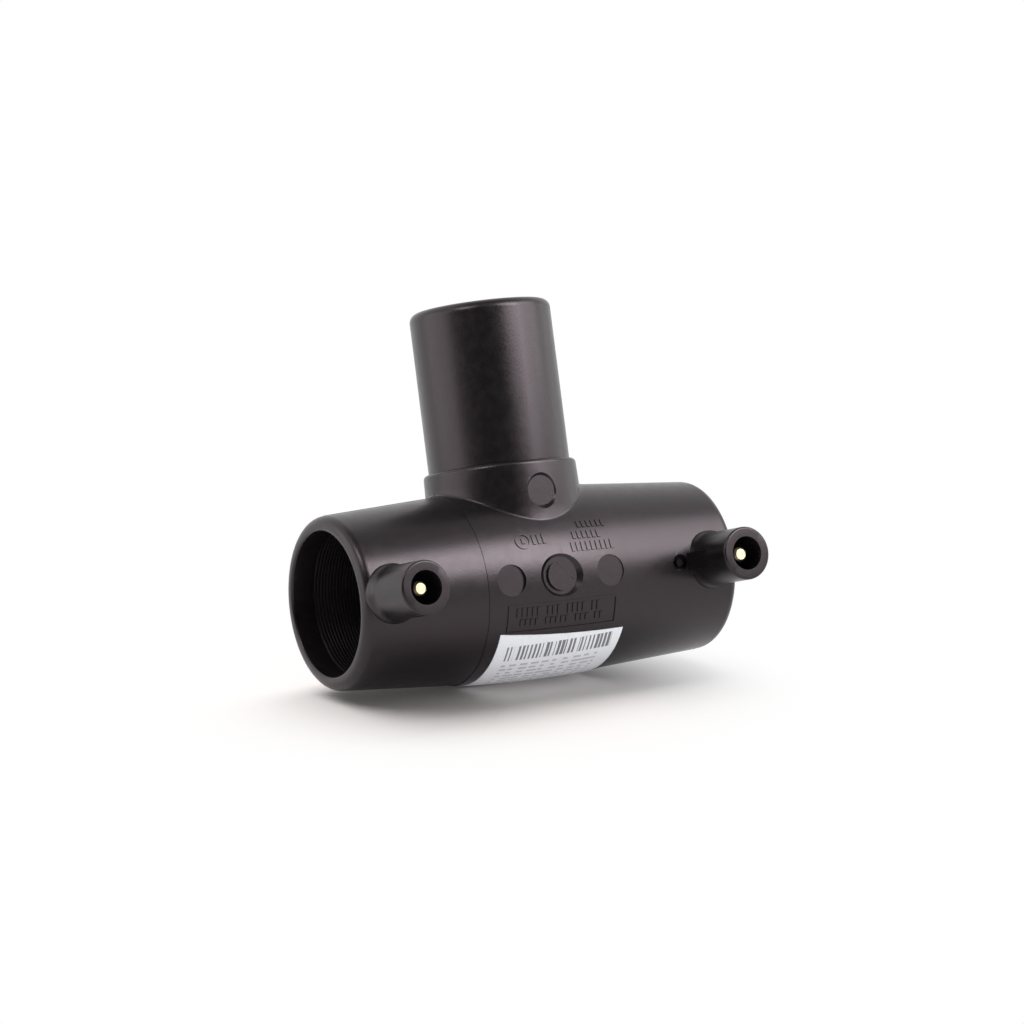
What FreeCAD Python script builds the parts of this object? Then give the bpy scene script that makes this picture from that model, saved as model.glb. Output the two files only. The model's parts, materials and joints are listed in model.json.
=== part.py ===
import FreeCAD, Part
import math
import os
import Sketcher
from FreeCAD import Placement, Rotation, Vector

# Electrofusion tee for 40 mm polyethylene pipe: two fusion sockets in line and a spigot branch.
# The origin is where the run axis and the branch axis cross. +X points along the run to the
# right, the terminals look towards -Y, and +Z points up the branch. All sizes are in mm.

DRIVING_SIZES = {
    # the pipe that the tee joins
    "pipe_radius": 20.0,
    "pipe_clearance": 0.15,
    # the run
    "run_length": 120.0,
    "socket_depth": 40.0,
    "stop_height": 3.85,
    "mouth_wall": 4.05,
    "crest_wall": 7.15,
    "crest_bulge": 0.85,
    "zone_margin": 1.5,
    "zone_step": 0.15,
    "rim_rounding": 2.8,
    "mouth_rounding": 0.7,
    # the branch
    "branch_height": 79.0,
    "spigot_wall": 4.15,
    "spigot_rounding": 2.6,
    "spigot_bore_rounding": 0.6,
    "collar_wall": 1.6,
    "collar_height": 33.2,
    "collar_draft": 0.035,
    "collar_rounding": 1.3,
    "collar_foot_rounding": 1.0,
    # the heating coil in the socket walls
    "coil_thickness": 1.2,
    "coil_length": 26.0,
    "coil_setback": 7.0,
    "lead_radius": 0.5,
    "lead_length": 0.9,
    # the terminals: a shroud moulded on the barrel and a pin in it
    "terminal_setback": 8.8,
    "shroud_radius": 7.45,
    "shroud_length": 18.4,
    "shroud_rounding": 0.7,
    "shroud_bore_radius": 4.7,
    "shroud_bore_depth": 14.6,
    "shroud_foot_spread": 0.8,
    "shroud_foot_height": 3.3,
    "rib_length": 8.4,
    "rib_width": 5.0,
    "rib_toe": 1.2,
    "rib_height": 11.0,
    "pin_radius": 2.0,
    "pin_setback": 3.2,
    "pin_chamfer": 0.5,
    "pin_shank_radius": 2.3,
    "pin_flange_radius": 3.0,
    "pin_flange_thickness": 1.5,
    "pin_flange_cover": 1.6,
    # the fusion indicators: a nib standing in a round well
    "indicator_setback": 20.0,
    "well_radius": 2.4,
    "well_skin": 1.0,
    "nib_radius": 1.05,
    "nib_height": 2.5,
    # round flats that the mould's ejectors leave
    "flat_spacing": 31.8,
    "flat_radius": 4.4,
    "flat_depth": 1.0,
    "collar_flat_radius": 4.2,
    "collar_flat_flare": 0.9,
    "collar_flat_shift": 0.4,
    "collar_flat_level": 24.3,
    "collar_flat_depth": 0.7,
    # the date dial
    "dial_floor_radius": 5.3,
    "dial_depth": 1.3,
    "dial_flare": 1.2,
    "dial_island_radius": 4.15,
    "dial_island_rise": 0.75,
    "dial_pointer_edge": 2.0,
    "dial_pointer_chamfer": 0.4,
    "dial_pointer_drop": 0.45,
    # the raised frame and the rows of dashes
    "mark_rise": 0.25,
    "mark_root": 0.8,
    "frame_width": 35.0,
    "frame_height": 8.3,
    "frame_bar": 0.5,
    "dash_pitch": 1.6,
    "dash_gap": 0.65,
    "ring_radius": 2.4,
    "ring_band": 0.6,
    "ring_shift": 9.9,
    # the label round the front of the barrel's underside
    "label_width": 40.0,
    "label_chord": 28.5,
    "label_thickness": 0.15,
    "label_shift": 0.2,
}

# Directions round the run axis, in degrees: 0 is straight ahead, positive is upwards.
FRAME_ANGLE = -23.6
LABEL_ANGLE = -67.0
LABEL_SKEW = 2.5
LABEL_SPARE_ANGLE = 84.0
DIAL_POINTER_TURN = -45.0
RING_ANGLE = 22.6

# Rows of dashes: each row's direction, the height of a dash, the left end and the groups of
# dashes, with one place left empty after each group.
DASH_ROWS = {
    "upper_row": {"angle": 30.3, "height": 2.1, "left": 8.7, "groups": (6,)},
    "middle_row": {"angle": 23.2, "height": 2.3, "left": 6.0, "groups": (6,)},
    "lower_row": {"angle": 15.9, "height": 2.7, "left": 4.6, "groups": (9,)},
    "ring_row": {"angle": 22.8, "height": 2.9, "left": -7.0, "groups": (3,)},
    "frame_upper_row": {"angle": -19.7, "height": 2.7, "left": -14.8, "groups": (5, 3, 4, 2)},
    "frame_lower_row": {"angle": -25.9, "height": 2.0, "left": -13.6, "groups": (4, 5, 3, 2)},
}

# Sizes that follow from the driving ones.
HALF = "(sizes.run_length / 2)"
SOCKET = "(sizes.pipe_radius + sizes.pipe_clearance)"
STOP = f"({HALF} - sizes.socket_depth)"
WATERWAY = f"({SOCKET} - sizes.stop_height)"
END = f"({SOCKET} + sizes.mouth_wall)"
CREST = f"({SOCKET} + sizes.crest_wall)"
COLLAR = "(sizes.pipe_radius + sizes.collar_wall)"
ZONE = f"({COLLAR} + sizes.zone_margin)"
ZONE_EDGE = f"({CREST} - sizes.crest_bulge)"
BULGE_RADIUS = f"(({ZONE} ^ 2 + sizes.crest_bulge ^ 2) / (2 * sizes.crest_bulge))"
SPIGOT_BORE = "(sizes.pipe_radius - sizes.spigot_wall)"
COIL_OUTER = f"({SOCKET} + sizes.coil_thickness)"
COIL_OUT_END = f"({HALF} - sizes.coil_setback)"
COIL_IN_END = f"({COIL_OUT_END} - sizes.coil_length)"
TERMINAL = f"({HALF} - sizes.terminal_setback)"
REACH = f"({END} + sizes.shroud_length)"
SHROUD_FLOOR = f"({REACH} - sizes.shroud_bore_depth)"
PIN_TIP = f"({REACH} - sizes.pin_setback)"
PIN_ROOT = f"({COIL_OUTER} + sizes.lead_length)"
FLANGE_TOP = f"({SHROUD_FLOOR} - sizes.pin_flange_cover)"
INDICATOR = f"({HALF} - sizes.indicator_setback)"
WELL_FLOOR = f"({COIL_OUTER} + sizes.well_skin)"
DIAL_FLOOR = f"({CREST} - sizes.dial_depth)"

SIDES = {"left": -1, "right": 1}

# How far a cutting tool reaches past a surface, in mm, and past an edge that it trims away.
CLEAR = "2"
SPARE = "0.1"


def minus(expression):
    return f"(-1 * {expression})"


def sided(sign, expression):
    """The expression on the right of the branch, its mirror image on the left."""
    return expression if sign > 0 else minus(expression)


def make_sheet(doc):
    """Spreadsheet with one row for each driving size."""
    sheet = doc.addObject("Spreadsheet::Sheet", "sizes")
    for row, (name, value) in enumerate(DRIVING_SIZES.items(), start=1):
        sheet.set(f"A{row}", name)
        sheet.set(f"B{row}", str(value))
        sheet.setAlias(f"B{row}", name)
    doc.recompute()


def number(doc, expression):
    """Present value of an expression, for a sketch's first guess."""
    return float(doc.sizes.evalExpression(expression))


def make_body(doc, name):
    body = doc.addObject("PartDesign::Body", name)
    body.Label = name
    return body


def make_sketch(body, role, name, across=None, out=None, turn=None):
    """Sketch on one of the body's own planes, shifted across it and out from it."""
    sketch = body.newObject("Sketcher::SketchObject", name)
    plane = next(item for item in body.Origin.OriginFeatures if item.Role == role)
    sketch.AttachmentSupport = (plane, [""])
    sketch.MapMode = "FlatFace"
    if turn is not None:
        sketch.AttachmentOffset = Placement(Vector(0, 0, 0), turn)
    if across is not None:
        sketch.setExpression("AttachmentOffset.Base.x", across)
    if out is not None:
        sketch.setExpression("AttachmentOffset.Base.z", out)
    return sketch


def tie_size(sketch, kind, geometry, expression):
    """Constrain one size of the sketch to an expression. geometry is a list of references."""
    value = number(sketch.Document, expression)
    index = sketch.addConstraint(Sketcher.Constraint(kind, *geometry, value))
    sketch.setExpression(f"Constraints[{index}]", expression)


def tie_point(sketch, edge, end, x, y):
    """Tie a point of the sketch to two expressions."""
    for kind, axis, expression in (("DistanceX", -2, x), ("DistanceY", -1, y)):
        if expression == "0":
            sketch.addConstraint(Sketcher.Constraint("PointOnObject", edge, end, axis))
        else:
            tie_size(sketch, kind, (-1, 1, edge, end), expression)


def draw_outline(sketch, corners, arcs=None):
    """Closed outline through corners, each a pair of expressions. arcs gives the radius of an
    edge that is an arc and its side: 1 bulges to the left of the edge's direction, -1 to the right."""
    arcs = arcs or {}
    doc = sketch.Document
    points = [Vector(number(doc, x), number(doc, y), 0) for x, y in corners]
    edges = []
    ends = []
    for i, start in enumerate(points):
        end = points[(i + 1) % len(points)]
        curve = Part.LineSegment(start, end)
        if i in arcs:
            radius = number(doc, arcs[i][0])
            chord = end - start
            rise = radius - math.sqrt(radius**2 - (chord.Length / 2) ** 2)
            left = Vector(-chord.y, chord.x, 0).normalize()
            curve = Part.Arc(start, (start + end) * 0.5 + left * (rise * arcs[i][1]), end)
        edge = sketch.addGeometry(curve, False)
        edges.append(edge)
        # a clockwise arc is stored with its ends exchanged
        kept = sketch.getPoint(edge, 1).distanceToPoint(start) < 1e-6
        ends.append((1, 2) if kept else (2, 1))
    for i, edge in enumerate(edges):
        after = (i + 1) % len(edges)
        joint = (edge, ends[i][1], edges[after], ends[after][0])
        sketch.addConstraint(Sketcher.Constraint("Coincident", *joint))
    for i, (x, y) in enumerate(corners):
        tie_point(sketch, edges[i], ends[i][0], x, y)
    for i, (radius_expression, _) in arcs.items():
        tie_size(sketch, "Radius", (edges[i],), radius_expression)


def draw_circle(sketch, x, y, radius):
    """Circle whose centre and radius are expressions."""
    doc = sketch.Document
    centre = Vector(number(doc, x), number(doc, y), 0)
    circle = Part.Circle(centre, Vector(0, 0, 1), number(doc, radius))
    edge = sketch.addGeometry(circle, False)
    tie_point(sketch, edge, 3, x, y)
    tie_size(sketch, "Radius", (edge,), radius)


def turned(body, kind, name, sketch, axis, angle=360.0):
    """Revolution or Groove of a sketch about one of its own axes, half the angle each way."""
    feature = body.newObject(f"PartDesign::{kind}", name)
    feature.Profile = sketch
    feature.ReferenceAxis = (sketch, [axis])
    feature.Angle = angle
    feature.Midplane = angle < 360
    body.Document.recompute()
    return feature


def padded(body, name, sketch, length, both_ways=False):
    pad = body.newObject("PartDesign::Pad", name)
    pad.Profile = sketch
    pad.setExpression("Length", length)
    pad.Midplane = both_ways
    body.Document.recompute()
    return pad


def cut_outwards(body, name, sketch):
    """Pocket from the sketch's plane out through all that lies in front of it."""
    pocket = body.newObject("PartDesign::Pocket", name)
    pocket.Profile = sketch
    pocket.Type = "ThroughAll"
    pocket.Reversed = True
    body.Document.recompute()
    return pocket


def cut_both_ways(body, name, sketch, length):
    """Pocket of the given length, half of it on each side of the sketch's plane."""
    pocket = body.newObject("PartDesign::Pocket", name)
    pocket.Profile = sketch
    pocket.setExpression("Length", length)
    pocket.Midplane = True
    body.Document.recompute()
    return pocket


def add_run_barrel(body):
    """Outside of the run: a bulging middle zone and two tapering sockets with rounded rims."""
    sketch = make_sketch(body, "XZ_Plane", "run_outline")
    cone_edge = f"({ZONE_EDGE} - sizes.zone_step)"
    rim_start = f"({HALF} - sizes.rim_rounding)"
    rim_flat = f"({END} - sizes.rim_rounding)"
    corners = [
        (minus(HALF), "0"),
        (minus(HALF), rim_flat),
        (minus(rim_start), END),
        (minus(ZONE), cone_edge),
        (minus(ZONE), ZONE_EDGE),
        (ZONE, ZONE_EDGE),
        (ZONE, cone_edge),
        (rim_start, END),
        (HALF, rim_flat),
        (HALF, "0"),
    ]
    rim = ("sizes.rim_rounding", 1)
    draw_outline(sketch, corners, {1: rim, 4: (BULGE_RADIUS, 1), 7: rim})
    turned(body, "Revolution", "run_barrel", sketch, "H_Axis")


def add_branch(body):
    """Outside of the branch: a collar that widens downwards and, above it, the spigot."""
    sketch = make_sketch(body, "XZ_Plane", "branch_outline")
    corners = [
        ("0", "0"),
        (f"({COLLAR} + sizes.collar_draft * (sizes.collar_height - sizes.collar_rounding))", "0"),
        (COLLAR, "(sizes.collar_height - sizes.collar_rounding)"),
        (f"({COLLAR} - sizes.collar_rounding)", "sizes.collar_height"),
        ("sizes.pipe_radius", "sizes.collar_height"),
        ("sizes.pipe_radius", "(sizes.branch_height - sizes.spigot_rounding)"),
        ("(sizes.pipe_radius - sizes.spigot_rounding)", "sizes.branch_height"),
        ("0", "sizes.branch_height"),
    ]
    arcs = {2: ("sizes.collar_rounding", -1), 5: ("sizes.spigot_rounding", -1)}
    draw_outline(sketch, corners, arcs)
    turned(body, "Revolution", "branch_spigot", sketch, "V_Axis")


def round_collar_foot(body):
    """Fillet along the saddle line where the collar stands on the barrel."""
    doc = body.Document
    base = body.Tip
    collar = number(doc, COLLAR)
    draft = number(doc, "sizes.collar_draft")
    draft_top = number(doc, "(sizes.collar_height - sizes.collar_rounding)")
    names = []
    for index, edge in enumerate(base.Shape.Edges, start=1):
        points = edge.discretize(9)
        levels = [point.z for point in points]
        radii = [collar + draft * (draft_top - level) for level in levels]
        on_collar = all(
            abs(math.hypot(point.x, point.y) - radius) < 0.01 for point, radius in zip(points, radii)
        )
        upright = all(math.hypot(point.x - points[0].x, point.y - points[0].y) < 0.01 for point in points)
        below_top = max(levels) < number(doc, CREST)
        if on_collar and below_top and not upright and max(levels) - min(levels) > 0.01:
            names.append(f"Edge{index}")
    fillet = body.newObject("PartDesign::Fillet", "collar_foot")
    fillet.Base = (base, names)
    fillet.setExpression("Radius", "sizes.collar_foot_rounding")
    doc.recompute()


def add_shroud(body, side, sign):
    """Shroud of one terminal, flared at its foot, with a rib towards the branch."""
    place = sided(sign, TERMINAL)
    sketch = make_sketch(body, "XY_Plane", f"{side}_shroud_outline", across=place)
    foot = "(sizes.shroud_radius + sizes.shroud_foot_spread)"
    foot_top = f"({END} + sizes.shroud_foot_height)"
    flare = (
        "((sizes.shroud_foot_height ^ 2 + sizes.shroud_foot_spread ^ 2)"
        " / (2 * sizes.shroud_foot_spread))"
    )
    corners = [
        ("0", minus(WELL_FLOOR)),
        (foot, minus(WELL_FLOOR)),
        (foot, minus(END)),
        ("sizes.shroud_radius", minus(foot_top)),
        ("sizes.shroud_radius", minus(f"({REACH} - sizes.shroud_rounding)")),
        ("(sizes.shroud_radius - sizes.shroud_rounding)", minus(REACH)),
        ("0", minus(REACH)),
    ]
    draw_outline(sketch, corners, {2: (flare, -1), 4: ("sizes.shroud_rounding", 1)})
    turned(body, "Revolution", f"{side}_shroud", sketch, "V_Axis")

    sketch = make_sketch(body, "XY_Plane", f"{side}_rib_outline", across=place)
    toe = minus(sided(sign, "sizes.rib_length"))
    root = minus(sided(sign, "(sizes.shroud_radius - sizes.shroud_rounding)"))
    rib_top = minus(f"({END} + sizes.rib_height)")
    corners = [
        ("0", minus(WELL_FLOOR)),
        (toe, minus(WELL_FLOOR)),
        (toe, minus(f"({END} + sizes.rib_toe)")),
        (root, rib_top),
        ("0", rib_top),
    ]
    draw_outline(sketch, corners)
    padded(body, f"{side}_rib", sketch, "sizes.rib_width", both_ways=True)

    sketch = make_sketch(body, "XZ_Plane", f"{side}_shroud_bore_outline", across=place, out=SHROUD_FLOOR)
    draw_circle(sketch, "0", "0", "sizes.shroud_bore_radius")
    cut_outwards(body, f"{side}_shroud_bore", sketch)


def add_indicator(body, side, sign):
    """Well of one fusion indicator and the nib that stands in it."""
    place = sided(sign, INDICATOR)
    sketch = make_sketch(body, "XZ_Plane", f"{side}_well_outline", across=place, out=WELL_FLOOR)
    draw_circle(sketch, "0", "0", "sizes.well_radius")
    cut_outwards(body, f"{side}_well", sketch)
    sketch = make_sketch(body, "XZ_Plane", f"{side}_nib_outline", across=place, out=WELL_FLOOR)
    draw_circle(sketch, "0", "0", "sizes.nib_radius")
    padded(body, f"{side}_nib", sketch, "sizes.nib_height")


def draw_flared_recess(sketch, surface, depth, floor_radius, flare):
    """Half section of a round recess whose wall leans outwards, beside the sketch's own V axis."""
    corners = [
        ("0", minus(f"({surface} - {depth})")),
        (floor_radius, minus(f"({surface} - {depth})")),
        (f"({floor_radius} + {flare} * ({depth} + {CLEAR}))", minus(f"({surface} + {CLEAR})")),
        ("0", minus(f"({surface} + {CLEAR})")),
    ]
    draw_outline(sketch, corners)


def cut_ejector_flats(body):
    """Two round flats on the barrel and one on the collar."""
    floor = f"({CREST} - sizes.flat_depth)"
    sketch = make_sketch(body, "XZ_Plane", "flats_outline", out=floor)
    for sign in SIDES.values():
        draw_circle(sketch, sided(sign, "(sizes.flat_spacing / 2)"), "0", "sizes.flat_radius")
    cut_outwards(body, "barrel_flats", sketch)
    place = {"across": "sizes.collar_flat_shift", "out": "sizes.collar_flat_level"}
    sketch = make_sketch(body, "XY_Plane", "collar_flat_outline", **place)
    recess = ("sizes.collar_flat_depth", "sizes.collar_flat_radius", "sizes.collar_flat_flare")
    draw_flared_recess(sketch, COLLAR, *recess)
    turned(body, "Groove", "collar_flat", sketch, "V_Axis")


def make_date_dial(body):
    """Date dial: a flared recess with a round island, whose upper right part is a step lower."""
    sketch = make_sketch(body, "XY_Plane", "dial_recess_outline")
    draw_flared_recess(sketch, CREST, "sizes.dial_depth", "sizes.dial_floor_radius", "sizes.dial_flare")
    turned(body, "Groove", "dial_recess", sketch, "V_Axis")
    sketch = make_sketch(body, "XZ_Plane", "dial_island_outline", out=DIAL_FLOOR)
    draw_circle(sketch, "0", "0", "sizes.dial_island_radius")
    padded(body, "dial_island", sketch, "sizes.dial_island_rise")

    top = f"({DIAL_FLOOR} + sizes.dial_island_rise)"
    step = f"({top} - sizes.dial_pointer_drop)"
    turn = Rotation(Vector(0, 0, 1), DIAL_POINTER_TURN)
    sketch = make_sketch(body, "XZ_Plane", "dial_pointer_outline", out=step, turn=turn)
    side = f"(sizes.dial_island_radius + {SPARE})"
    half_edge = f"sqrt({side} ^ 2 - sizes.dial_pointer_edge ^ 2)"
    corners = [(minus(half_edge), "sizes.dial_pointer_edge"), (f"({half_edge})", "sizes.dial_pointer_edge")]
    draw_outline(sketch, corners, {1: (side, -1)})
    cut_outwards(body, "dial_pointer", sketch)

    turn = Rotation(Vector(0, 1, 0), DIAL_POINTER_TURN)
    sketch = make_sketch(body, "XY_Plane", "dial_pointer_chamfer_outline", turn=turn)
    inner = "(sizes.dial_pointer_edge - sizes.dial_pointer_chamfer)"
    corners = [
        (inner, minus(top)),
        ("sizes.dial_pointer_edge", minus(f"({top} - sizes.dial_pointer_chamfer)")),
        ("sizes.dial_pointer_edge", minus(top)),
    ]
    draw_outline(sketch, corners)
    cut_both_ways(body, "dial_pointer_edge", sketch, f"(2 * sqrt({side} ^ 2 - {inner} ^ 2))")


def cut_bores(body):
    """Waterways of the run and the branch, and the two sockets with rounded mouths."""
    sketch = make_sketch(body, "XZ_Plane", "run_bore_outline")
    mouth = f"({SOCKET} + sizes.mouth_rounding)"
    mouth_start = f"({HALF} - sizes.mouth_rounding)"
    corners = [
        (minus(HALF), "0"),
        (minus(HALF), mouth),
        (minus(mouth_start), SOCKET),
        (minus(STOP), SOCKET),
        (minus(STOP), WATERWAY),
        (STOP, WATERWAY),
        (STOP, SOCKET),
        (mouth_start, SOCKET),
        (HALF, mouth),
        (HALF, "0"),
    ]
    rounding = ("sizes.mouth_rounding", -1)
    draw_outline(sketch, corners, {1: rounding, 7: rounding})
    turned(body, "Groove", "run_bore", sketch, "H_Axis")
    sketch = make_sketch(body, "XZ_Plane", "branch_bore_outline")
    corners = [
        ("0", "0"),
        (SPIGOT_BORE, "0"),
        (SPIGOT_BORE, "(sizes.branch_height - sizes.spigot_bore_rounding)"),
        (f"({SPIGOT_BORE} + sizes.spigot_bore_rounding)", "sizes.branch_height"),
        ("0", "sizes.branch_height"),
    ]
    draw_outline(sketch, corners, {2: ("sizes.spigot_bore_rounding", 1)})
    turned(body, "Groove", "branch_bore", sketch, "V_Axis")


def make_moulding(doc):
    """The polyethylene moulding, before its raised marks and what is moulded into it."""
    body = make_body(doc, "moulding")
    add_run_barrel(body)
    add_branch(body)
    round_collar_foot(body)
    for side, sign in SIDES.items():
        add_shroud(body, side, sign)
        add_indicator(body, side, sign)
    cut_ejector_flats(body)
    make_date_dial(body)
    cut_bores(body)
    return body


def draw_crest_strip(sketch, half_width, low, high):
    """Strip that follows the bulge of the middle zone between two heights above it."""
    drop = f"(sqrt({BULGE_RADIUS} ^ 2 - {half_width} ^ 2) - {BULGE_RADIUS})"
    inner = f"({CREST} + {low} + {drop})"
    outer = f"({CREST} + {high} + {drop})"
    corners = [
        (minus(half_width), inner),
        (minus(half_width), outer),
        (half_width, outer),
        (half_width, inner),
    ]
    draw_outline(sketch, corners, {1: (BULGE_RADIUS, 1), 3: (BULGE_RADIUS, -1)})


def make_bar(doc, name, left, width, level, height):
    """Upright block in front of the run axis that cuts one mark out of a shell."""
    bar = doc.addObject("Part::Box", name)
    bar.setExpression("Length", width)
    bar.setExpression("Width", f"({CREST} - {WATERWAY})")
    bar.setExpression("Height", height)
    bar.setExpression("Placement.Base.x", left)
    bar.setExpression("Placement.Base.y", minus(f"({CREST} + {CLEAR})"))
    bar.setExpression("Placement.Base.z", level)
    return bar


def turned_group(doc, name, bars, angle):
    """Bars joined in one group and turned up or down round the run axis."""
    group = doc.addObject("Part::MultiFuse", name)
    group.Shapes = bars
    group.Placement = Placement(Vector(0, 0, 0), Rotation(Vector(1, 0, 0), -angle))
    return group


def make_frame_bars(doc):
    """Four bars of the rectangular frame."""
    width = "sizes.frame_width"
    bar = "sizes.frame_bar"
    left = minus(f"({width} / 2)")
    base = minus("(sizes.frame_height / 2)")
    side_height = f"(sizes.frame_height - 2 * {bar})"
    bars = [
        make_bar(doc, "frame_top", left, width, minus(f"({base} + {bar})"), bar),
        make_bar(doc, "frame_base", left, width, base, bar),
        make_bar(doc, "frame_left", left, bar, f"({base} + {bar})", side_height),
        make_bar(doc, "frame_right", minus(f"({left} + {bar})"), bar, f"({base} + {bar})", side_height),
    ]
    return turned_group(doc, "frame_bars", bars, FRAME_ANGLE)


def make_dash_row(doc, name, angle, height, left, groups):
    """One row of dashes, a pitch apart, with one place left empty after each group."""
    dashes = []
    place = 0
    for count in groups:
        for _ in range(count):
            start = f"({left} + {place} * sizes.dash_pitch)"
            width = "(sizes.dash_pitch - sizes.dash_gap)"
            dashes.append(make_bar(doc, f"{name}_{place}", start, width, str(-height / 2), str(height)))
            place += 1
        place += 1
    return turned_group(doc, name, dashes, angle)


def make_ring(doc):
    """Plain ring with one dash in it, beside the rows of dashes."""
    radii = {"ring_outside": "sizes.ring_radius", "ring_inside": "(sizes.ring_radius - sizes.ring_band)"}
    discs = []
    for name, radius in radii.items():
        disc = doc.addObject("Part::Cylinder", name)
        disc.Placement = Placement(Vector(0, 0, 0), Rotation(Vector(1, 0, 0), 90))
        disc.setExpression("Radius", radius)
        disc.setExpression("Height", f"({CREST} - {WATERWAY})")
        disc.setExpression("Placement.Base.x", minus("sizes.ring_shift"))
        disc.setExpression("Placement.Base.y", minus(f"({WATERWAY} + {CLEAR})"))
        discs.append(disc)
    band = doc.addObject("Part::Cut", "ring_band")
    band.Base, band.Tool = discs
    width = "(sizes.dash_pitch - sizes.dash_gap)"
    left = minus(f"(sizes.ring_shift + {width} / 2)")
    height = "(2 * sizes.ring_radius / 3)"
    dash = make_bar(doc, "ring_dash", left, width, minus(f"({height} / 2)"), height)
    return turned_group(doc, "ring", [band, dash], RING_ANGLE)


def make_marks(doc):
    """The raised frame and dashes: bars trimmed by a shell that follows the middle zone."""
    shell = make_body(doc, "marks_shell")
    sketch = make_sketch(shell, "XZ_Plane", "marks_shell_outline")
    draw_crest_strip(sketch, f"({ZONE} - sizes.zone_step)", minus("sizes.mark_root"), "sizes.mark_rise")
    turned(shell, "Revolution", "marks_shell_ring", sketch, "H_Axis")
    groups = [make_frame_bars(doc), make_ring(doc)]
    groups += [make_dash_row(doc, name, **row) for name, row in DASH_ROWS.items()]
    bars = doc.addObject("Part::MultiFuse", "mark_bars")
    bars.Shapes = groups
    marks = doc.addObject("Part::Common", "marks")
    marks.Base = shell
    marks.Tool = bars
    doc.recompute()
    return marks


def make_heating_coil(doc):
    """The coated heating wire: a winding in each socket, turn laid against turn, the straight
    stretch behind the stop that joins them, and a lead to each terminal pin."""
    body = make_body(doc, "heating_coil")
    sketch = make_sketch(body, "YZ_Plane", "link_outline")
    draw_circle(sketch, f"({COIL_OUTER} + sizes.lead_radius / 2)", "0", "sizes.lead_radius")
    link_length = f"(2 * ({COIL_IN_END} + sizes.coil_thickness))"
    padded(body, "link", sketch, link_length, both_ways=True)
    for side, sign in SIDES.items():
        sketch = make_sketch(body, "XZ_Plane", f"{side}_winding_outline")
        corners = [
            (sided(sign, COIL_IN_END), SOCKET),
            (sided(sign, COIL_IN_END), COIL_OUTER),
            (sided(sign, COIL_OUT_END), COIL_OUTER),
            (sided(sign, COIL_OUT_END), SOCKET),
        ]
        draw_outline(sketch, corners)
        turned(body, "Revolution", f"{side}_winding", sketch, "H_Axis")
        middle = f"({SOCKET} + sizes.coil_thickness / 2)"
        place = sided(sign, TERMINAL)
        sketch = make_sketch(body, "XZ_Plane", f"{side}_lead_outline", across=place, out=middle)
        draw_circle(sketch, "0", "0", "sizes.lead_radius")
        padded(body, f"{side}_lead", sketch, f"({PIN_ROOT} - {middle})")
    return body


def make_terminal_pin(doc, side, sign):
    """Brass pin with a flange that locks it in the moulding. Its root meets the wire's lead."""
    body = make_body(doc, f"{side}_terminal_pin")
    sketch = make_sketch(body, "XY_Plane", f"{side}_pin_outline")
    flange_base = f"({FLANGE_TOP} - sizes.pin_flange_thickness)"
    corners = [
        ("0", minus(PIN_ROOT)),
        ("sizes.pin_shank_radius", minus(PIN_ROOT)),
        ("sizes.pin_shank_radius", minus(flange_base)),
        ("sizes.pin_flange_radius", minus(flange_base)),
        ("sizes.pin_flange_radius", minus(FLANGE_TOP)),
        ("sizes.pin_shank_radius", minus(FLANGE_TOP)),
        ("sizes.pin_shank_radius", minus(SHROUD_FLOOR)),
        ("sizes.pin_radius", minus(SHROUD_FLOOR)),
        ("sizes.pin_radius", minus(f"({PIN_TIP} - sizes.pin_chamfer)")),
        ("(sizes.pin_radius - sizes.pin_chamfer)", minus(PIN_TIP)),
        ("0", minus(PIN_TIP)),
    ]
    draw_outline(sketch, corners)
    turned(body, "Revolution", f"{side}_pin_turning", sketch, "V_Axis")
    body.setExpression("Placement.Base.x", sided(sign, TERMINAL))
    return body


def make_label(doc):
    """Paper label, wrapped round the middle zone below the frame and a little askew."""
    body = make_body(doc, "label")
    upright = 90 - LABEL_ANGLE
    turn = Rotation(Vector(1, 0, 0), upright)
    sketch = make_sketch(body, "XZ_Plane", "label_strip_outline", turn=turn)
    half_strip = f"({ZONE} - sizes.zone_step)"
    draw_crest_strip(sketch, half_strip, "0", "sizes.label_thickness")
    turned(body, "Revolution", "label_strip", sketch, "H_Axis", LABEL_SPARE_ANGLE)
    turn = Rotation(Vector(1, 0, 0), -LABEL_ANGLE) * Rotation(Vector(0, 0, 1), -LABEL_SKEW)
    sketch = make_sketch(body, "XZ_Plane", "label_trim_outline", turn=turn)
    spare = f"(2 * {CREST})"
    for width, chord, middle in (
        (spare, spare, "0"),
        ("(sizes.label_width / 2)", "(sizes.label_chord / 2)", "sizes.label_shift"),
    ):
        left = f"({middle} - {width})"
        right = f"({middle} + {width})"
        draw_outline(sketch, [(left, minus(chord)), (right, minus(chord)), (right, chord), (left, chord)])
    cut_outwards(body, "label_trim", sketch)
    return body


def join_tee_body(doc, moulding, marks, inserts):
    """The finished moulding: the marks added, the inserts' room taken out."""
    whole = doc.addObject("Part::MultiFuse", "marked_moulding")
    whole.Shapes = [moulding, marks]
    tools = doc.addObject("Part::MultiFuse", "insert_room")
    tools.Shapes = inserts
    tee = doc.addObject("Part::Cut", "tee_body")
    tee.Base = whole
    tee.Tool = tools
    doc.recompute()
    return tee


def check(doc, pieces):
    """Stop unless every object was made and every piece is one valid solid."""
    for item in doc.Objects:
        bad = {"Invalid", "Error"} & set(item.State)
        if bad:
            raise RuntimeError(f"{item.Name} is {', '.join(sorted(bad))}")
    for piece in pieces:
        shape = piece.Shape
        if shape.isNull() or not shape.isValid():
            raise RuntimeError(f"{piece.Label} has no valid shape")
        if len(shape.Solids) != 1:
            raise RuntimeError(f"{piece.Label} has {len(shape.Solids)} solids")


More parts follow.
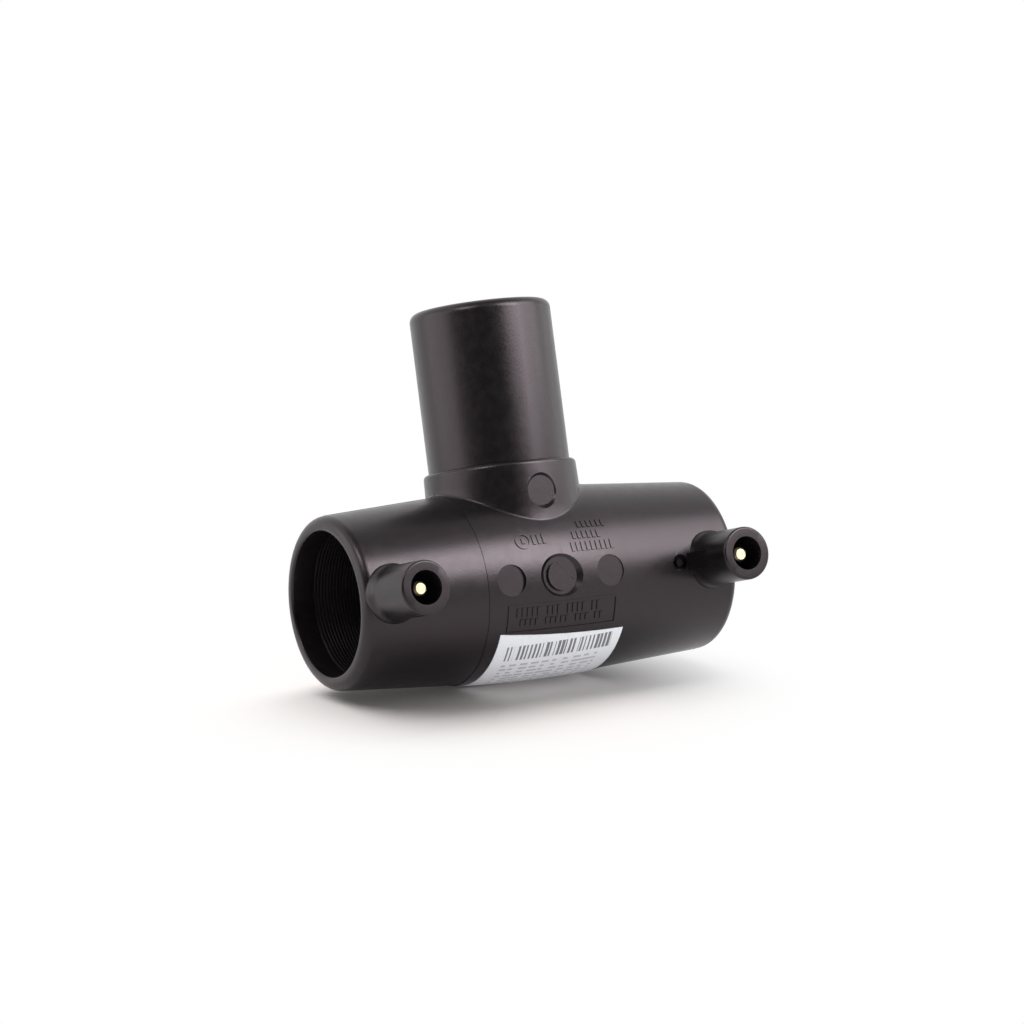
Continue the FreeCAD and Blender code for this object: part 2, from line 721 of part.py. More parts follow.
def main():
    doc = FreeCAD.newDocument("electrofusion_tee")
    make_sheet(doc)
    moulding = make_moulding(doc)
    coil = make_heating_coil(doc)
    pins = [make_terminal_pin(doc, side, sign) for side, sign in SIDES.items()]
    label = make_label(doc)
    tee = join_tee_body(doc, moulding, make_marks(doc), [coil] + pins)
    doc.recompute()
    pieces = [tee, coil, *pins, label]
    check(doc, pieces)
    os.makedirs("parts", exist_ok=True)
    for piece in pieces:
        piece.Shape.exportStep(f"parts/{piece.Label}.step")
        print(piece.Label, round(piece.Shape.Volume, 1), "mm3", len(piece.Shape.Faces), "faces")


main()
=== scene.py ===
# %% [markdown]
# # An electrofusion tee
#
# This lesson dresses a polyethylene pipe fitting for a studio picture. The fitting joins plastic
# pipes: two pipe ends slide into the sockets of the run, current goes through the heating wire in
# the socket walls, and the plastic melts together. The third pipe is fused on the branch spigot.
#
# The shapes come from a CAD model, which is loaded first and is never moved or changed.

# %% Load the frame
import json
import math
import bpy
from mathutils import Matrix, Vector


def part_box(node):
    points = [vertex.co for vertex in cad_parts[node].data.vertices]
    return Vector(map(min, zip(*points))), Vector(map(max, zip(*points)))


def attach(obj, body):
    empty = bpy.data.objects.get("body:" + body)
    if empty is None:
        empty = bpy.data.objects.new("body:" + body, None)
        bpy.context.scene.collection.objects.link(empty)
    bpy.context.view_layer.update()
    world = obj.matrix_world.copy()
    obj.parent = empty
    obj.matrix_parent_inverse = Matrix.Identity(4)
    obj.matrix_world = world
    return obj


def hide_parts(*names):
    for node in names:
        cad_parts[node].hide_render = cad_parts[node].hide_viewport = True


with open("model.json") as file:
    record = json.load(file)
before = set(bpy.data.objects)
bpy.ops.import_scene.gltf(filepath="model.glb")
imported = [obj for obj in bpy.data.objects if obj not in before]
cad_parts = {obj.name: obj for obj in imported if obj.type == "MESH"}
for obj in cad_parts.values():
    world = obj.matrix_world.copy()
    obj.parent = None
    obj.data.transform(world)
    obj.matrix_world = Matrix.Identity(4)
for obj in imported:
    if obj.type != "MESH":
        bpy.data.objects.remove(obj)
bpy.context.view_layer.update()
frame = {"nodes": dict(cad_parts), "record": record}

NODES = frame["nodes"]
print("CAD nodes:", ", ".join(sorted(NODES)))

# %% [markdown]
# ## Sizes
#
# Blender works in metres here, and so do all places. The mounts in the CAD model's record say
# where a pipe, a coupler or a connector goes, so the radii of the sockets and the spigot and the
# place of the pins are read from there and typed nowhere else.

# %% Sizes from the record
MM = 0.001
MOUNTS = {mount["name"]: mount for mount in frame["record"]["mounts"]}


def mount_radius(name):
    return MOUNTS[name]["dims"]["r_mm"] * MM


SOCKET_RADIUS = mount_radius("right_socket")
SPIGOT_RADIUS = mount_radius("branch_spigot")
TERMINAL_X = MOUNTS["right_terminal"]["pos_m"][0]
BODY_LOW, BODY_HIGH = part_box("tee_body")
RUN_HALF = BODY_HIGH.x
CREST_RADIUS = -BODY_LOW.z
print(f"run {2 * RUN_HALF / MM:.1f} mm long, {2 * CREST_RADIUS / MM:.1f} mm across")

# %% [markdown]
# ## Small tools
#
# Colours are written as the hex values that a picture editor shows. Blender mixes light in linear
# values, so one function turns a hex value to linear. Another adds a shader node with its settings
# and links, so that each material reads as a short list of what it is made of. A socket is named
# with its spaces as underscores, or by its number where several sockets share a name.

# %% Colour and node tools
def linear(hex_colour):
    """sRGB hex colour, such as 1c1a1b, as a linear RGBA colour."""
    channels = [int(hex_colour[i:i + 2], 16) / 255 for i in (0, 2, 4)]
    return tuple(c / 12.92 if c <= 0.04045 else ((c + 0.055) / 1.055) ** 2.4 for c in channels) + (1.0,)


def add_node(tree, kind, settings=None, **inputs):
    """Add a shader node.

    settings are its own properties, with the positions and hex colours of a colour ramp as "stops".
    inputs are values or (node, socket) links.
    """
    node = tree.nodes.new("ShaderNode" + kind)
    for name, value in (settings or {}).items():
        if name == "stops":
            for stop, (position, colour) in zip(node.color_ramp.elements, value):
                stop.position = position
                stop.color = linear(colour)
        else:
            setattr(node, name, value)
    for name, value in inputs.items():
        socket = node.inputs[int(name[1:])] if name[1:].isdigit() else node.inputs[name.replace("_", " ")]
        if isinstance(value, tuple) and isinstance(value[0], bpy.types.Node):
            tree.links.new(value[0].outputs[value[1]], socket)
        else:
            socket.default_value = value
    return node


def new_material(name):
    """Material with an empty node tree and an output node."""
    material = bpy.data.materials.new(name)
    material.use_nodes = True
    material.node_tree.nodes.clear()
    output = add_node(material.node_tree, "OutputMaterial")
    return material, material.node_tree, output


def give_material(piece, material):
    """Make the material the only one on a piece."""
    piece.data.materials.clear()
    piece.data.materials.append(material)

# %% [markdown]
# ## The moulding
#
# The body is one injection moulding: run, branch, shrouds, frame and dashes came out of one steel
# mould. The CAD shape is right, but it arrives as loose flat triangles, and on glossy plastic each
# of them would show as a facet. So a copy is made, its corners are joined, and its faces are
# shaded smooth, with a crease kept wherever two faces meet at more than a given angle. The copy
# stands for the CAD node in the picture, and the node itself stays as it is.

# %% Smooth copies of CAD nodes
JOINING_REACH = 0.0005 * MM
BODY_CREASE = 24            # degrees: the steps and dashes stay crisp, and the blends are smooth
PIN_CREASE = 30


def select_only(piece):
    """Deselect everything, then select the piece and make it active."""
    bpy.ops.object.select_all(action="DESELECT")
    piece.select_set(True)
    bpy.context.view_layer.objects.active = piece


def smooth_copy(node, piece_name, crease_angle):
    """Smoothly shaded copy of a CAD node, with its triangles joined."""
    piece = bpy.data.objects.new(piece_name, NODES[node].data.copy())
    bpy.context.collection.objects.link(piece)
    select_only(piece)
    bpy.ops.object.mode_set(mode="EDIT")
    bpy.ops.mesh.select_all(action="SELECT")
    bpy.ops.mesh.remove_doubles(threshold=JOINING_REACH)
    bpy.ops.object.mode_set(mode="OBJECT")
    bpy.ops.mesh.customdata_custom_splitnormals_clear()
    bpy.ops.object.shade_smooth_by_angle(angle=math.radians(crease_angle))
    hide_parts(node)
    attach(piece, "root")
    print(f"{piece_name}: {len(piece.data.vertices)} vertices, {len(piece.data.polygons)} faces")
    return piece


moulding = smooth_copy("tee_body", "moulding", BODY_CREASE)
left_pin = smooth_copy("left_terminal_pin", "left_brass_pin", PIN_CREASE)
right_pin = smooth_copy("right_terminal_pin", "right_brass_pin", PIN_CREASE)
paper_label = smooth_copy("label", "paper_label", PIN_CREASE)

# %% [markdown]
# ## Straight shading on turned surfaces
#
# Averaged normals wobble where long thin triangles meet a recess, and a glossy black surface shows
# every wobble. Nearly all of this fitting is turned about one of a few axes, and on such a surface
# the true normal points straight away from its axis. These are the axes: the run's, the branch's,
# and those of the round details that face forwards.

# %% Axes of the turned surfaces
RUN_AXIS = {"point": (0, 0, 0), "along": (1, 0, 0), "reach": 1.0}
BRANCH_AXIS = {"point": (0, 0, 0), "along": (0, 0, 1), "reach": SPIGOT_RADIUS + 2.4 * MM}
ROUND_DETAILS = {           # x and z of each round detail that faces forwards, and its reach, in mm
    "left_shroud": (-TERMINAL_X / MM, 0, 8.4),
    "right_shroud": (TERMINAL_X / MM, 0, 8.4),
    "left_well": (-40, 0, 2.5),
    "right_well": (40, 0, 2.5),
    "left_flat": (-15.9, 0, 4.5),
    "right_flat": (15.9, 0, 4.5),
    "collar_flat": (0.4, 24.3, 5.1),
    "dial": (0, 0, 7.0),
}
DETAIL_AXES = [
    {"point": (x * MM, 0, z * MM), "along": (0, 1, 0), "reach": reach * MM}
    for x, z, reach in ROUND_DETAILS.values()
]
print("axes of details:", len(DETAIL_AXES))

# %% [markdown]
# Each face is matched with the first axis that it is turned about, and the sideways part of its
# corners' normals is set right. Their lean along the axis, which a curved outline gives them, stays
# as it was.

# %% Set the normals of turned surfaces
ACROSS_LIMIT = 0.04         # how far a face may point aside from its axis, as a sine
FLAT_LIMIT = 0.99999        # a face that points so straight along X, Y or Z is flat, not turned
END_LIMIT = 0.995           # one that points so straight along its axis is an end face
CORE_LIMIT = 0.2 * MM       # and one this near its axis has no clear direction


def from_axis(place, axis):
    """Vector that leads straight from the axis to a place."""
    along = Vector(axis["along"])
    offset = place - Vector(axis["point"])
    return offset - along * offset.dot(along)


def turned_about(face, axes):
    """The first axis that a face is turned about, or None."""
    if max(abs(part) for part in face.normal) > FLAT_LIMIT:
        return None
    for axis in axes:
        out = from_axis(face.center, axis)
        if out.length > axis["reach"] or out.length < CORE_LIMIT:
            continue
        along = Vector(axis["along"])
        if abs(face.normal.dot(along)) > END_LIMIT:
            continue
        if abs(face.normal.dot(along.cross(out.normalized()))) < ACROSS_LIMIT:
            return axis
    return None


def straighten_normals(piece, axes):
    """Give the corners of turned faces the normal that their axis asks for."""
    mesh = piece.data
    averaged = [corner.vector.copy() for corner in mesh.corner_normals]
    straight = 0
    for face in mesh.polygons:
        axis = turned_about(face, axes)
        if axis is None:
            continue
        along = Vector(axis["along"])
        facing = 1 if face.normal.dot(from_axis(face.center, axis)) > 0 else -1
        for loop in face.loop_indices:
            out = from_axis(mesh.vertices[mesh.loops[loop].vertex_index].co, axis).normalized()
            lean = max(-1.0, min(1.0, averaged[loop].dot(along)))
            averaged[loop] = along * lean + out * (facing * math.sqrt(1 - lean * lean))
        straight += 1
    mesh.normals_split_custom_set(averaged)
    print(f"{piece.name}: {straight} of {len(mesh.polygons)} faces are turned")


straighten_normals(moulding, DETAIL_AXES + [BRANCH_AXIS, RUN_AXIS])
straighten_normals(paper_label, [RUN_AXIS])

# %% [markdown]
# ## The parting line
#
# The two halves of the steel mould meet in the plane y = 0. A little plastic creeps between them and
# leaves a fine raised line along the run's crest and belly. To find it, a copy of the moulding is
# bisected in that plane and both halves are cleared away, so that only the outline is left. Cores
# shape the bores and the ends, and on the branch the line is scraped off for the coupler, so those
# parts of the outline are deleted. The rest becomes a curve, gets a round section, and is turned
# back into a mesh.

# %% Parting line
FLASH_RADIUS = 0.09 * MM
CORE_REACH = SOCKET_RADIUS + 2.5 * MM   # nearer the run's axis than this, a core shaped the outline
BRANCH_CORE_REACH = SPIGOT_RADIUS - 2 * MM
BRANCH_START = CREST_RADIUS + 0.2 * MM
ROUNDED_RIM = 2.7 * MM                  # the line ends where the rim of a mouth turns inwards


def between_mould_halves(place):
    """True where the outline was shaped by the two halves and not by a core."""
    belly = place.z < -CORE_REACH
    top = place.z > CORE_REACH and abs(place.x) > BRANCH_CORE_REACH
    return (belly or top) and abs(place.x) < RUN_HALF - ROUNDED_RIM and place.z < BRANCH_START


def outline_in_parting_plane():
    """The moulding's outline in the plane y = 0, without the parts that the cores shaped."""
    flash = bpy.data.objects.new("parting_line", moulding.data.copy())
    bpy.context.collection.objects.link(flash)
    select_only(flash)
    bpy.ops.object.mode_set(mode="EDIT")
    bpy.ops.mesh.select_all(action="SELECT")
    bpy.ops.mesh.bisect(plane_co=(0, 0, 0), plane_no=(0, 1, 0), clear_inner=True, clear_outer=True)
    bpy.ops.mesh.select_all(action="DESELECT")
    bpy.ops.object.mode_set(mode="OBJECT")
    for corner in flash.data.vertices:
        corner.select = not between_mould_halves(corner.co)
    bpy.ops.object.mode_set(mode="EDIT")
    bpy.ops.mesh.delete(type="VERT")
    bpy.ops.object.mode_set(mode="OBJECT")
    return flash


def raise_outline(flash):
    """Turn an outline of edges into a thin raised line."""
    select_only(flash)
    bpy.ops.object.convert(target="CURVE")
    flash.data.bevel_depth = FLASH_RADIUS
    flash.data.bevel_resolution = 1
    flash.data.use_fill_caps = True
    bpy.ops.object.convert(target="MESH")


parting_line = outline_in_parting_plane()
raise_outline(parting_line)
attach(parting_line, "root")
print("parting line:", len(parting_line.data.polygons), "faces")

# %% [markdown]
# ## The heating wire
#
# In each socket a coated copper wire is wound turn against turn, level with the bore. The CAD model
# has a smooth sleeve there. Here a small ring of vertices, the section of the wire, is turned round
# the run's axis by a Screw modifier that also moves it along by one pitch on every turn. That is how
# a real winding lies, and it gives the fine ridges that catch the light in the mouth.

# %% Wind the wire
WIRE_PITCH = 1.0 * MM
WIRE_OVERLAP = 1.7          # the coating of one turn melts into the next, so the grooves are shallow
WIRE_SECTION_SIDES = 12
STEPS_A_TURN = 72
COIL_LOW, COIL_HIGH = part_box("heating_coil")
WINDING_OUTER = COIL_HIGH.z
WIRE_RADIUS = (WINDING_OUTER - SOCKET_RADIUS) / 2
WINDING_END = COIL_HIGH.x
WINDING_LENGTH = 26 * MM
WINDING_TURNS = int(WINDING_LENGTH / WIRE_PITCH) - 1


def wire_section(name, side):
    """Ring of vertices, a little wider than the pitch, where the winding starts."""
    bpy.ops.object.select_all(action="DESELECT")
    bpy.ops.mesh.primitive_circle_add(vertices=WIRE_SECTION_SIDES, radius=WIRE_RADIUS)
    ring = bpy.context.object
    ring.name = name
    start = (side * (WINDING_END - WINDING_LENGTH + WIRE_RADIUS), 0, SOCKET_RADIUS + WIRE_RADIUS)
    upright = Matrix.Rotation(math.pi / 2, 4, "X")
    widened = Matrix.Diagonal((WIRE_PITCH / (2 * WIRE_RADIUS) * WIRE_OVERLAP, 1, 1, 1))
    ring.data.transform(Matrix.Translation(start) @ upright @ widened)
    return ring


def wind_wire(name, side):
    """One winding: the wire's section screwed round the run's axis, with its two ends closed."""
    winding = wire_section(name, side)
    screw = winding.modifiers.new("winding", "SCREW")
    screw.axis = "X"
    screw.angle = math.tau
    screw.screw_offset = side * WIRE_PITCH
    screw.iterations = WINDING_TURNS
    screw.steps = screw.render_steps = STEPS_A_TURN
    screw.use_merge_vertices = False
    screw.use_smooth_shade = True
    bpy.ops.object.modifier_apply(modifier="winding")
    bpy.ops.object.mode_set(mode="EDIT")
    bpy.ops.mesh.select_all(action="DESELECT")
    bpy.ops.mesh.select_non_manifold()
    bpy.ops.mesh.edge_face_add()
    bpy.ops.mesh.select_all(action="SELECT")
    bpy.ops.mesh.normals_make_consistent(inside=False)
    bpy.ops.object.mode_set(mode="OBJECT")
    print(name, WINDING_TURNS, "turns")
    return winding


left_winding = wind_wire("left_winding", -1)
right_winding = wind_wire("right_winding", 1)

# %% [markdown]
# The hot plastic pushes the turns about a little when the fitting is moulded, so a Displace
# modifier with a soft cloud texture shifts them to and fro along the axis.

# %% Let the turns wander
WANDER = 0.7 * MM           # how far a turn wanders along the axis
WANDER_SIZE = 14 * MM


def let_turns_wander(winding):
    """Shift the turns to and fro along the axis, as moulding does."""
    cloud = bpy.data.textures.new(winding.name + "_wander", "CLOUDS")
    cloud.noise_scale = WANDER_SIZE
    wander = winding.modifiers.new("wander", "DISPLACE")
    wander.texture = cloud
    wander.texture_coords = "LOCAL"
    wander.direction = "X"
    wander.strength = WANDER
    select_only(winding)
    bpy.ops.object.modifier_apply(modifier="wander")


for winding in (left_winding, right_winding):
    let_turns_wander(winding)
    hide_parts("heating_coil")
    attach(winding, "root")
    print(f"{winding.name}: {len(winding.data.polygons)} faces")

# %% [markdown]
# ## The wire between the sockets
#
# The same wire runs behind the stop from one winding to the other, and from each winding to its
# pin. All of it lies inside the plastic. It is part of the CAD solid that the windings stand for, so
# it is modelled too: three rods with rounded ends, joined into one piece.

# %% Link and leads
ROD_RADIUS = 0.5 * MM
ROD_SIDES = 16
LINK_Y = COIL_HIGH.y - ROD_RADIUS
LINK_HALF = WINDING_END - WINDING_LENGTH + 2 * WIRE_RADIUS
LEAD_START_Y = -(SOCKET_RADIUS + WIRE_RADIUS)
ROD_END_ROUNDING = 0.4 * ROD_RADIUS
ROD_END_LIMIT = 0.9         # a face that points so straight along the rod is one of its ends
ROD_CREASE = 50             # degrees


def add_rod(start, end):
    """Rod between two places, its ends rounded by a bevel."""
    span = Vector(end) - Vector(start)
    bpy.ops.object.select_all(action="DESELECT")
    bpy.ops.mesh.primitive_cylinder_add(vertices=ROD_SIDES, radius=ROD_RADIUS, depth=span.length)
    rod = bpy.context.object
    bpy.ops.object.mode_set(mode="EDIT")
    bpy.ops.mesh.select_all(action="DESELECT")
    bpy.ops.object.mode_set(mode="OBJECT")
    for face in rod.data.polygons:
        face.select = abs(face.normal.z) > ROD_END_LIMIT
    bpy.ops.object.mode_set(mode="EDIT")
    bpy.ops.mesh.bevel(offset=ROD_END_ROUNDING, segments=2)
    bpy.ops.object.mode_set(mode="OBJECT")
    middle = (Vector(start) + Vector(end)) / 2
    rod.data.transform(Matrix.Translation(middle) @ span.to_track_quat("Z", "Y").to_matrix().to_4x4())
    bpy.ops.object.shade_smooth_by_angle(angle=math.radians(ROD_CREASE))
    return rod


def join_rods(rods, name):
    bpy.ops.object.select_all(action="DESELECT")
    for rod in rods:
        rod.select_set(True)
    bpy.context.view_layer.objects.active = rods[0]
    bpy.ops.object.join()
    rods[0].name = name
    return rods[0]


wire_rods = [
    add_rod((-LINK_HALF, LINK_Y, 0), (LINK_HALF, LINK_Y, 0)),
    add_rod((-TERMINAL_X, LEAD_START_Y, 0), (-TERMINAL_X, COIL_LOW.y, 0)),
    add_rod((TERMINAL_X, LEAD_START_Y, 0), (TERMINAL_X, COIL_LOW.y, 0)),
]
wire_link = join_rods(wire_rods, "wire_link")
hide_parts("heating_coil")
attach(wire_link, "root")
print(f"link {2 * LINK_HALF / MM:.1f} mm long, {len(wire_link.data.polygons)} faces")

# %% [markdown]
# ## Black polyethylene
#
# PE 100 pipe plastic is filled with a little carbon black, so it is nearly as dark as it can be, and
# most of what the eye sees is the room mirrored in its skin. The steel mould is fine blasted, so
# the mirror image is soft, and the waxy skin turns it slightly warm. Two faint bumps carry that: a
# grain, and the slight waves that plastic leaves when it shrinks. Handling leaves duller patches.

# %% Polyethylene
GRAIN_SIZE = 0.8 * MM       # drawn coarser than the real 0.1 mm, which would not show
WAVE_SIZE = 9.0 * MM
SCUFF_SIZE = 2.5 * MM
SCUFF_RANGE = (0.35, 0.75)  # the noise goes from clean skin at the first value to dull at the second
SKIN_ROUGHNESS = (0.28, 0.34)
WARM_SHEEN = (1.0, 0.85, 0.92, 1.0)


def polyethylene_material():
    material, tree, output = new_material("moulded_polyethylene")
    place = add_node(tree, "TexCoord")
    grain = add_node(tree, "TexNoise", Vector=(place, "Object"), Scale=1 / GRAIN_SIZE, Detail=1.0)
    waves = add_node(tree, "TexNoise", Vector=(place, "Object"), Scale=1 / WAVE_SIZE, Detail=1.0)
    scuffs = add_node(tree, "TexNoise", Vector=(place, "Object"), Scale=1 / SCUFF_SIZE, Detail=3.0)
    roughness = add_node(
        tree, "MapRange", Value=(scuffs, "Fac"), From_Min=SCUFF_RANGE[0], From_Max=SCUFF_RANGE[1],
        To_Min=SKIN_ROUGHNESS[0], To_Max=SKIN_ROUGHNESS[1],
    )
    tint = add_node(
        tree, "ValToRGB", {"stops": ((0.3, "100e0f"), (0.8, "151213"))}, Fac=(scuffs, "Fac"),
    )
    grain_bump = add_node(tree, "Bump", Height=(grain, "Fac"), Strength=0.5, Distance=0.03 * MM)
    wave_bump = add_node(
        tree, "Bump", Height=(waves, "Fac"), Normal=(grain_bump, "Normal"),
        Strength=0.5, Distance=0.05 * MM,
    )
    shader = add_node(
        tree, "BsdfPrincipled", Base_Color=(tint, "Color"), Roughness=(roughness, "Result"),
        Normal=(wave_bump, "Normal"), IOR=1.51, Specular_Tint=WARM_SHEEN,
    )
    tree.links.new(shader.outputs["BSDF"], output.inputs["Surface"])
    return material


polyethylene = polyethylene_material()
for piece in (moulding, parting_line):
    give_material(piece, polyethylene)
print("moulding and parting line:", polyethylene.name)

# %% [markdown]
# ## Wire coating
#
# The wire's coating is the same plastic, drawn on the wire through a hot die. It is duller than the
# moulding, and it has long streaks along the wire. The streaks need a coordinate that runs round
# the axis: a wave pattern on the angle would do, but a noise squeezed along X does the same with
# one Mapping node, because the turns lie almost square to X.

# %% Coating
STREAK_WIDTH = 0.4 * MM
STREAK_LENGTH = 6.0 * MM


def coating_material():
    material, tree, output = new_material("drawn_wire_coating")
    place = add_node(tree, "TexCoord")
    squeeze = (1 / STREAK_WIDTH, 1 / STREAK_LENGTH, 1 / STREAK_LENGTH)
    along = add_node(tree, "Mapping", Vector=(place, "Object"), Scale=squeeze)
    streaks = add_node(tree, "TexNoise", Vector=(along, "Vector"), Scale=1.0, Detail=4.0)
    roughness = add_node(tree, "MapRange", Value=(streaks, "Fac"), To_Min=0.45, To_Max=0.65)
    bump = add_node(tree, "Bump", Height=(streaks, "Fac"), Strength=0.4, Distance=0.03 * MM)
    shader = add_node(
        tree, "BsdfPrincipled", Base_Color=linear("060505"), Roughness=(roughness, "Result"),
        Normal=(bump, "Normal"), IOR=1.4, Specular_Tint=WARM_SHEEN,
    )
    tree.links.new(shader.outputs["BSDF"], output.inputs["Surface"])
    return material


coating = coating_material()
for piece in (left_winding, right_winding, wire_link):
    give_material(piece, coating)
print("wire:", coating.name)

# %% [markdown]
# ## Brass pins
#
# The terminal pins are brass, turned on a lathe. The tool leaves fine grooves: rings along the shank
# and circles on the flat tip. Both come from one distance: how far a point lies along the pin, plus
# how far it lies from the pin's axis. Math's absolute value folds the two pins onto one another, so
# that one material serves both.

# %% Brass
GROOVE_PITCH = 0.25 * MM    # drawn coarser than the real 0.05 mm, which would not show
GROOVE_DEPTH = 0.3          # as a share of half the pitch, since the bump's height is in metres here
TARNISH_SIZE = 1.2 * MM


def brass_material():
    material, tree, output = new_material("turned_brass")
    place = add_node(tree, "TexCoord")
    parts = add_node(tree, "SeparateXYZ", Vector=(place, "Object"))
    folded = add_node(tree, "Math", {"operation": "ABSOLUTE"}, _0=(parts, "X"))
    aside = add_node(tree, "Math", {"operation": "SUBTRACT"}, _0=(folded, "Value"), _1=TERMINAL_X)
    across = add_node(tree, "CombineXYZ", X=(aside, "Value"), Z=(parts, "Z"))
    radius = add_node(tree, "VectorMath", {"operation": "LENGTH"}, _0=(across, "Vector"))
    travel = add_node(tree, "Math", {"operation": "ADD"}, _0=(radius, "Value"), _1=(parts, "Y"))
    grooves = add_node(tree, "Math", {"operation": "PINGPONG"}, _0=(travel, "Value"), _1=GROOVE_PITCH / 2)
    tarnish = add_node(tree, "TexNoise", Vector=(place, "Object"), Scale=1 / TARNISH_SIZE, Detail=4.0)
    colour = add_node(
        tree, "ValToRGB", {"stops": ((0.35, "e6d6a6"), (0.7, "f4e9c8"))}, Fac=(tarnish, "Fac"),
    )
    roughness = add_node(tree, "MapRange", Value=(tarnish, "Fac"), To_Min=0.38, To_Max=0.22)
    bump = add_node(tree, "Bump", Height=(grooves, "Value"), Strength=0.25, Distance=GROOVE_DEPTH)
    shader = add_node(
        tree, "BsdfPrincipled", Base_Color=(colour, "Color"), Metallic=1.0,
        Roughness=(roughness, "Result"), Normal=(bump, "Normal"),
    )
    tree.links.new(shader.outputs["BSDF"], output.inputs["Surface"])
    return material


brass = brass_material()
for pin in (left_pin, right_pin):
    give_material(pin, brass)
print("pins:", brass.name)

# %% [markdown]
# ## The label
#
# The paper label is wrapped round the belly and printed grey on white. Its print is generic: a strip
# of upright bars in groups and, below it, plain lines. Nothing on it can be read.
#
# A flat pattern has to follow the curve, so the material unrolls the surface first. The angle round
# the run's axis, times the radius, is the way down the paper. Together with X that makes a flat
# place in millimetres, and a Mapping node turns it by the label's small skew.

# %% Unrolled coordinates
LABEL_TOP = math.radians(-35.5)     # direction of the label's upper edge round the run's axis
LABEL_SKEW = math.radians(2.5)


def unrolled(tree):
    """Place on the unrolled label: X to the right and Y down from its upper edge, in millimetres."""
    place = add_node(tree, "TexCoord")
    parts = add_node(tree, "SeparateXYZ", Vector=(place, "Object"))
    ahead = add_node(tree, "Math", {"operation": "MULTIPLY"}, _0=(parts, "Y"), _1=-1.0)
    angle = add_node(tree, "Math", {"operation": "ARCTAN2"}, _0=(parts, "Z"), _1=(ahead, "Value"))
    below = add_node(tree, "Math", {"operation": "SUBTRACT"}, _0=LABEL_TOP, _1=(angle, "Value"))
    down = add_node(tree, "Math", {"operation": "MULTIPLY"}, _0=(below, "Value"), _1=CREST_RADIUS)
    flat = add_node(tree, "CombineXYZ", X=(parts, "X"), Y=(down, "Value"))
    return add_node(
        tree, "Mapping", Vector=(flat, "Vector"), Rotation=(0, 0, LABEL_SKEW), Scale=(1 / MM, 1 / MM, 1),
    )


# %% [markdown]
# Each band of print is a product of masks. A mask is 1 where a coordinate lies between two values.
# White Noise on the number of a bar gives it a width of its own, so the bars differ as in print.

# %% Masks
def between(tree, value, low, high):
    """1 where a value lies between low and high, else 0."""
    middle, half = (low + high) / 2, (high - low) / 2
    return add_node(tree, "Math", {"operation": "COMPARE"}, _0=value, _1=middle, _2=half)


def whole_steps(tree, value, step):
    """How many whole steps fit in a value."""
    count = add_node(tree, "Math", {"operation": "DIVIDE"}, _0=value, _1=step)
    return add_node(tree, "Math", {"operation": "FLOOR"}, _0=(count, "Value"))


def bars_of_random_width(tree, across, pitch, row, widths):
    """1 on the bars, one for every pitch along a row, each with a random width of its own."""
    column = whole_steps(tree, across, pitch)
    cell = add_node(tree, "CombineXYZ", X=(column, "Value"), Y=row)
    noise = add_node(tree, "TexWhiteNoise", {"noise_dimensions": "2D"}, Vector=(cell, "Vector"))
    width = add_node(tree, "MapRange", Value=(noise, "Value"), To_Min=widths[0], To_Max=widths[1])
    place = add_node(tree, "Math", {"operation": "FLOORED_MODULO"}, _0=across, _1=pitch)
    return add_node(tree, "Math", {"operation": "LESS_THAN"}, _0=(place, "Value"), _1=(width, "Result"))


def joined(tree, masks):
    """The highest of several masks."""
    whole = masks[0]
    for mask in masks[1:]:
        whole = add_node(tree, "Math", {"operation": "MAXIMUM"}, _0=(whole, "Value"), _1=(mask, "Value"))
    return whole


def product(tree, first, second):
    return add_node(tree, "Math", {"operation": "MULTIPLY"}, _0=(first, "Value"), _1=(second, "Value"))


# %% [markdown]
# The bars come first, and rows of plain dashes lie below them.

# %% Bars and dashes
BAR_PITCH = 1.25            # all of these in millimetres
BAR_WIDTHS = (0.35, 0.95)
BAR_GROUPS = ((-16.2, -13.7), (-12.6, -4.7), (-4.1, -1.8), (-0.9, 6.0), (6.9, 17.6))
BAR_TOP, BAR_BASE = 2.3, 7.7
LINE_MODULE = 3.4
LINE_WIDTHS = (1.2, 3.4)
LINE_PITCH = 1.9
LINE_SHARE = 0.45           # how much of the pitch is print
LINE_TOP, LINE_BASE = 9.5, 26.6
LINE_LEFT, LINE_RIGHT = -16.2, 14.5


def bar_print(tree, across, down):
    """Strip of upright bars in groups."""
    groups = joined(tree, [between(tree, across, low, high) for low, high in BAR_GROUPS])
    strip = product(tree, groups, between(tree, down, BAR_TOP, BAR_BASE))
    return product(tree, strip, bars_of_random_width(tree, across, BAR_PITCH, 0.0, BAR_WIDTHS))


def line_print(tree, across, down):
    """Plain short dashes in rows, between two margins."""
    row = whole_steps(tree, down, LINE_PITCH)
    height = add_node(tree, "Math", {"operation": "FLOORED_MODULO"}, _0=down, _1=LINE_PITCH)
    printed = between(tree, (height, "Value"), 0, LINE_SHARE * LINE_PITCH)
    margins = between(tree, across, LINE_LEFT, LINE_RIGHT)
    block = product(tree, between(tree, down, LINE_TOP, LINE_BASE), margins)
    dashes = bars_of_random_width(tree, across, LINE_MODULE, (row, "Value"), LINE_WIDTHS)
    return product(tree, product(tree, block, printed), dashes)


# %% [markdown]
# Fine fibres make the paper slightly uneven, in its colour and in a faint bump, and the two prints
# are laid on it one after the other.

# %% Label paper
FIBRE_SIZE = 0.5 * MM
MIXED_COLOUR = 2            # a Mix node has one output for each data type; the third is the colour


